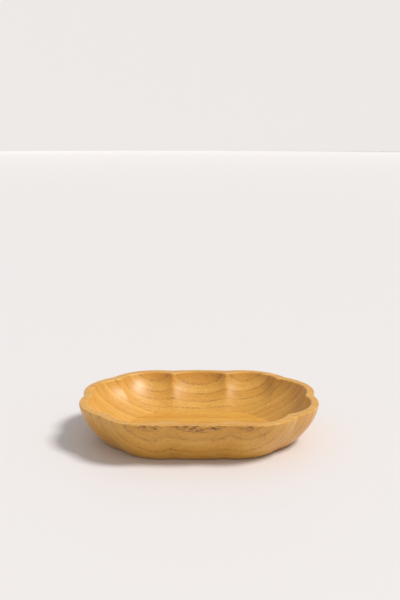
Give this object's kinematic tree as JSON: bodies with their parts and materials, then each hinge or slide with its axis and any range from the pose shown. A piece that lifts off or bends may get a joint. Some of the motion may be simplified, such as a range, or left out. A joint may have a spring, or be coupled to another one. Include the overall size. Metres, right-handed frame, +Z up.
{
  "type": "serving tray",
  "caption": "Shallow scalloped serving tray with flared lobed walls and a flat floor, milled from a block of edge-glued bamboo strips.",
  "frame": {"origin": "centre of the flat underside, on the surface the tray rests on", "axes": "+X along the length and the strips' fibres, +Y to the back, +Z up"},
  "size_m": [0.3232, 0.264, 0.055],
  "materials": {
    "bamboo_honey": "satin oiled",
    "bamboo_pale": "satin oiled",
    "bamboo_amber": "satin oiled",
    "bamboo_straw": "satin oiled"
  },
  "bodies": {
    "root": {"front_wall_strip_01": "bamboo_amber", "front_wall_strip_02": "bamboo_amber", "front_wall_strip_03": "bamboo_honey", "front_wall_strip_04": "bamboo_amber", "front_wall_strip_05": "bamboo_pale", "front_wall_strip_06": "bamboo_honey", "front_wall_strip_07": "bamboo_straw", "front_wall_strip_08": "bamboo_honey", "front_wall_strip_09": "bamboo_pale", "front_wall_strip_10": "bamboo_straw", "front_wall_strip_11": "bamboo_honey", "front_wall_strip_12": "bamboo_amber", "floor_strip_01": "bamboo_honey", "floor_strip_02": "bamboo_pale", "floor_strip_03": "bamboo_straw", "floor_strip_04": "bamboo_honey", "floor_strip_05": "bamboo_amber", "floor_strip_06": "bamboo_honey", "floor_strip_07": "bamboo_pale", "floor_strip_08": "bamboo_straw", "floor_strip_09": "bamboo_honey", "floor_strip_10": "bamboo_honey", "floor_strip_11": "bamboo_pale", "floor_strip_12": "bamboo_honey", "floor_strip_13": "bamboo_straw", "floor_strip_14": "bamboo_honey", "floor_strip_15": "bamboo_pale", "floor_strip_16": "bamboo_amber", "floor_strip_17": "bamboo_honey", "floor_strip_18": "bamboo_straw", "floor_strip_19": "bamboo_pale", "floor_strip_20": "bamboo_honey", "floor_strip_21": "bamboo_amber", "floor_strip_22": "bamboo_honey", "floor_strip_23": "bamboo_straw", "floor_strip_24": "bamboo_pale", "back_wall_strip_12": "bamboo_honey", "back_wall_strip_11": "bamboo_honey", "back_wall_strip_10": "bamboo_pale", "back_wall_strip_09": "bamboo_straw", "back_wall_strip_08": "bamboo_honey", "back_wall_strip_07": "bamboo_amber", "back_wall_strip_06": "bamboo_pale", "back_wall_strip_05": "bamboo_honey", "back_wall_strip_04": "bamboo_amber", "back_wall_strip_03": "bamboo_honey", "back_wall_strip_02": "bamboo_amber", "back_wall_strip_01": "bamboo_amber"}
  },
  "joints": []
}
